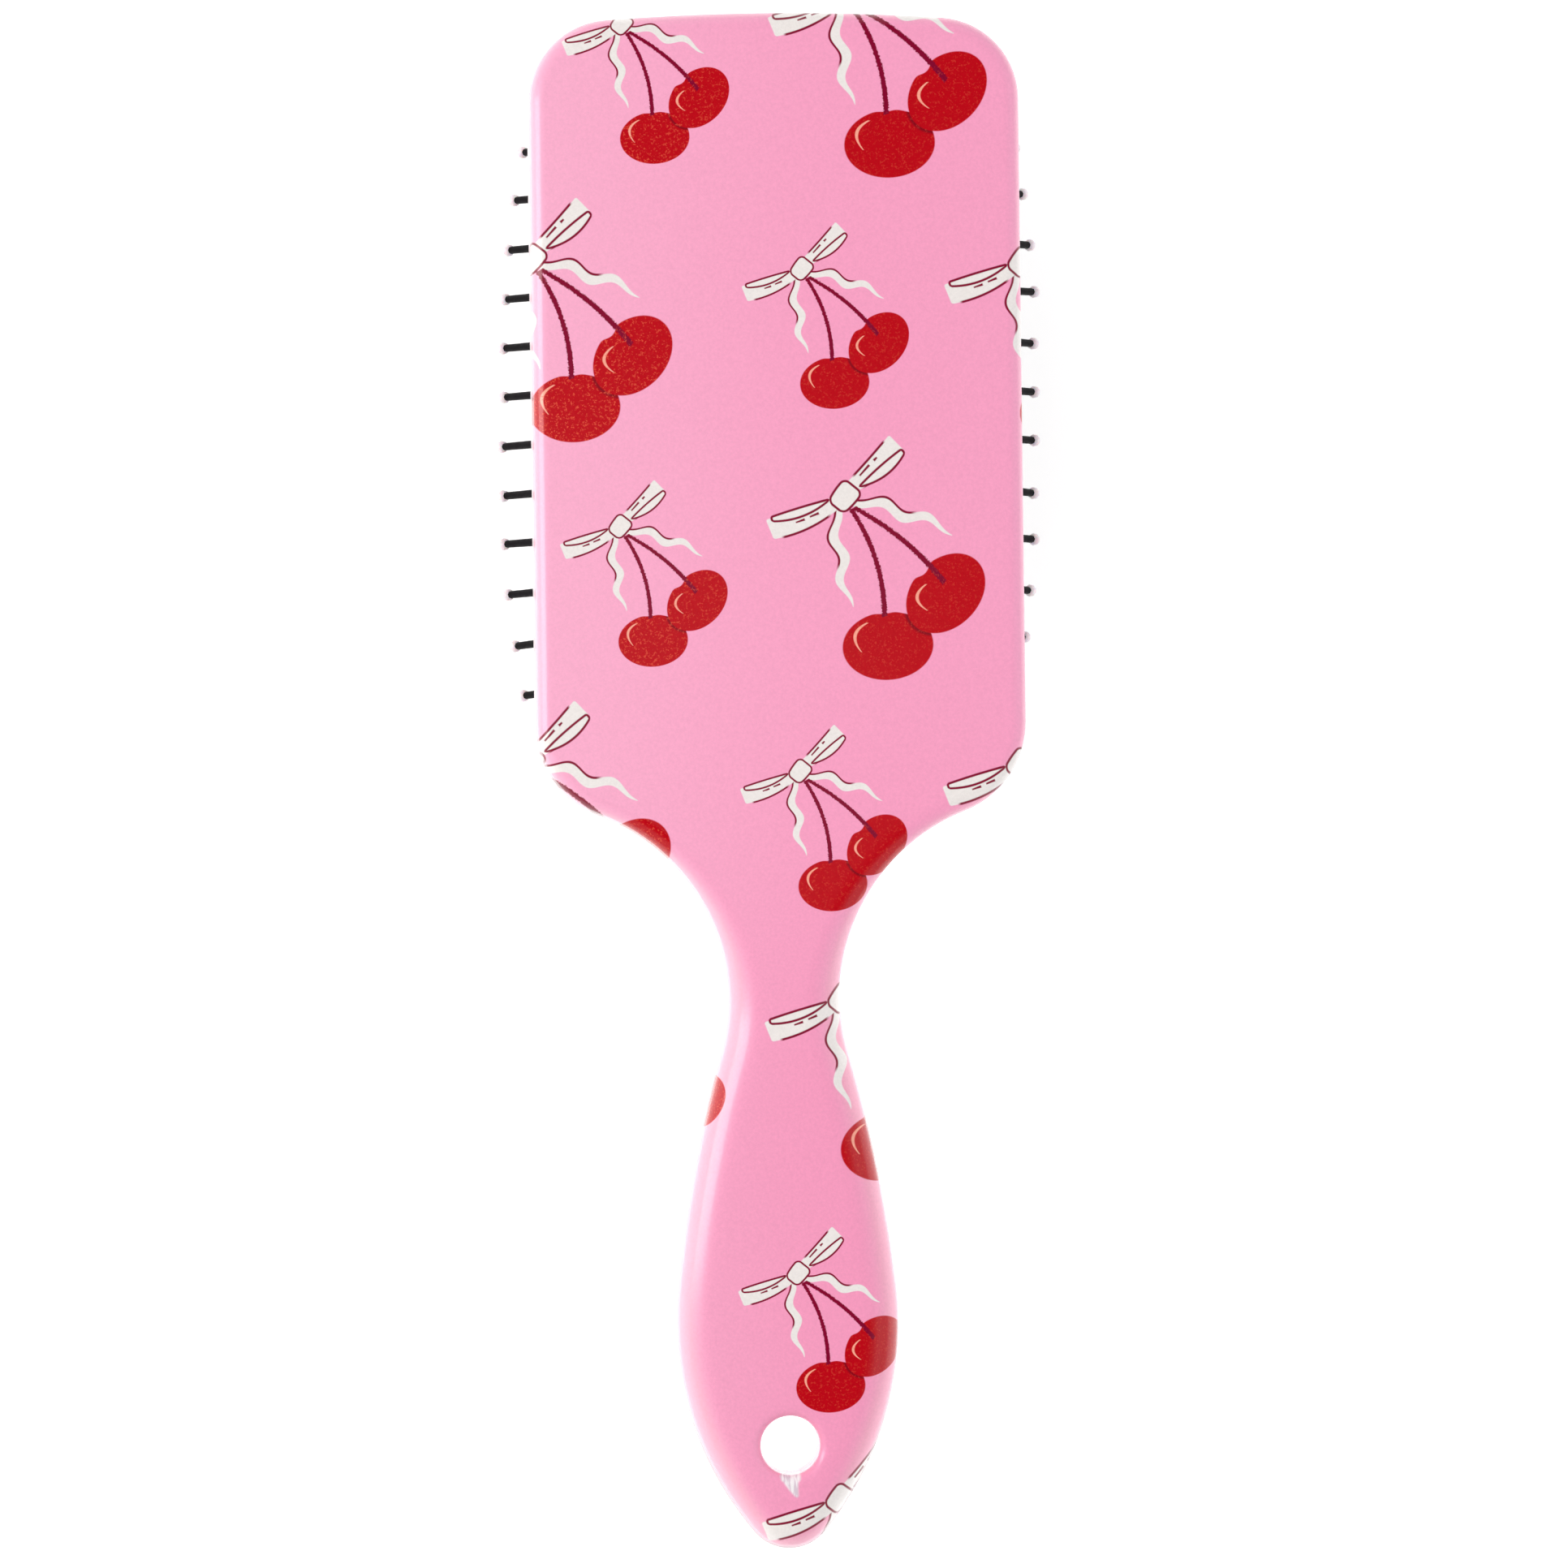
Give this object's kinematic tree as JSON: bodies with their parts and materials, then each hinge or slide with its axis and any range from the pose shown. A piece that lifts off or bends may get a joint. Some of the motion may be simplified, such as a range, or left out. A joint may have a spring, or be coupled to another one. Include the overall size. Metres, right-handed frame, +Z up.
{
  "type": "paddle hair brush",
  "caption": "Paddle hair brush: moulded head and handle in one piece with a hanging hole, and a sprung rubber dome full of round-tipped pins.",
  "frame": {"origin": "on the surface that the pin tips stand on, under the middle of the brush's length and width", "axes": "+X across the brush, +Y from the handle's end to the top of the head, +Z up out of the printed back, with the pins pointing to -Z"},
  "size_m": [0.0864, 0.24, 0.046],
  "materials": {
    "printed_body": "satin gloss printed film over white ABS",
    "cushion_rubber": "soft matt rubber",
    "pin_nylon": "smooth moulded nylon",
    "tip_coating": "glossy dipped resin balls"
  },
  "bodies": {
    "brush_body": {"brush_body": "printed_body"},
    "cushion": {"cushion_pad": "cushion_rubber"},
    "pin_column_1": {"pins_1": "pin_nylon", "tips_1": "tip_coating"},
    "pin_column_2": {"pins_2": "pin_nylon", "tips_2": "tip_coating"},
    "pin_column_3": {"pins_3": "pin_nylon", "tips_3": "tip_coating"},
    "pin_column_4": {"pins_4": "pin_nylon", "tips_4": "tip_coating"},
    "pin_column_5": {"pins_5": "pin_nylon", "tips_5": "tip_coating"},
    "pin_column_6": {"pins_6": "pin_nylon", "tips_6": "tip_coating"},
    "pin_column_7": {"pins_7": "pin_nylon", "tips_7": "tip_coating"},
    "pin_column_8": {"pins_8": "pin_nylon", "tips_8": "tip_coating"},
    "pin_column_9": {"pins_9": "pin_nylon", "tips_9": "tip_coating"}
  },
  "joints": [
    {"name": "cushion_press", "type": "slide", "parent": "brush_body", "child": "cushion", "axis": [0, 0, 1], "range_m": [0, 0.003], "stiffness_N_per_m": 3300, "deforming": ["cushion_pad"]},
    {"name": "pin_rock_1", "type": "hinge", "parent": "cushion", "child": "pin_column_1", "pos_m": [-0.031, 0.0578, 0.03258], "axis": [0, 1, 0], "range_deg": [-8, 8], "stiffness_Nm_per_rad": 0.6},
    {"name": "pin_rock_2", "type": "hinge", "parent": "cushion", "child": "pin_column_2", "pos_m": [-0.02325, 0.0578, 0.02886], "axis": [0, 1, 0], "range_deg": [-8, 8], "stiffness_Nm_per_rad": 0.6},
    {"name": "pin_rock_3", "type": "hinge", "parent": "cushion", "child": "pin_column_3", "pos_m": [-0.0155, 0.0578, 0.02634], "axis": [0, 1, 0], "range_deg": [-8, 8], "stiffness_Nm_per_rad": 0.6},
    {"name": "pin_rock_4", "type": "hinge", "parent": "cushion", "child": "pin_column_4", "pos_m": [-0.00775, 0.0578, 0.02488], "axis": [0, 1, 0], "range_deg": [-8, 8], "stiffness_Nm_per_rad": 0.6},
    {"name": "pin_rock_5", "type": "hinge", "parent": "cushion", "child": "pin_column_5", "pos_m": [0, 0.0578, 0.0244], "axis": [0, 1, 0], "range_deg": [-8, 8], "stiffness_Nm_per_rad": 0.6},
    {"name": "pin_rock_6", "type": "hinge", "parent": "cushion", "child": "pin_column_6", "pos_m": [0.00775, 0.0578, 0.02488], "axis": [0, 1, 0], "range_deg": [-8, 8], "stiffness_Nm_per_rad": 0.6},
    {"name": "pin_rock_7", "type": "hinge", "parent": "cushion", "child": "pin_column_7", "pos_m": [0.0155, 0.0578, 0.02634], "axis": [0, 1, 0], "range_deg": [-8, 8], "stiffness_Nm_per_rad": 0.6},
    {"name": "pin_rock_8", "type": "hinge", "parent": "cushion", "child": "pin_column_8", "pos_m": [0.02325, 0.0578, 0.02886], "axis": [0, 1, 0], "range_deg": [-8, 8], "stiffness_Nm_per_rad": 0.6},
    {"name": "pin_rock_9", "type": "hinge", "parent": "cushion", "child": "pin_column_9", "pos_m": [0.031, 0.0578, 0.03258], "axis": [0, 1, 0], "range_deg": [-8, 8], "stiffness_Nm_per_rad": 0.6}
  ]
}
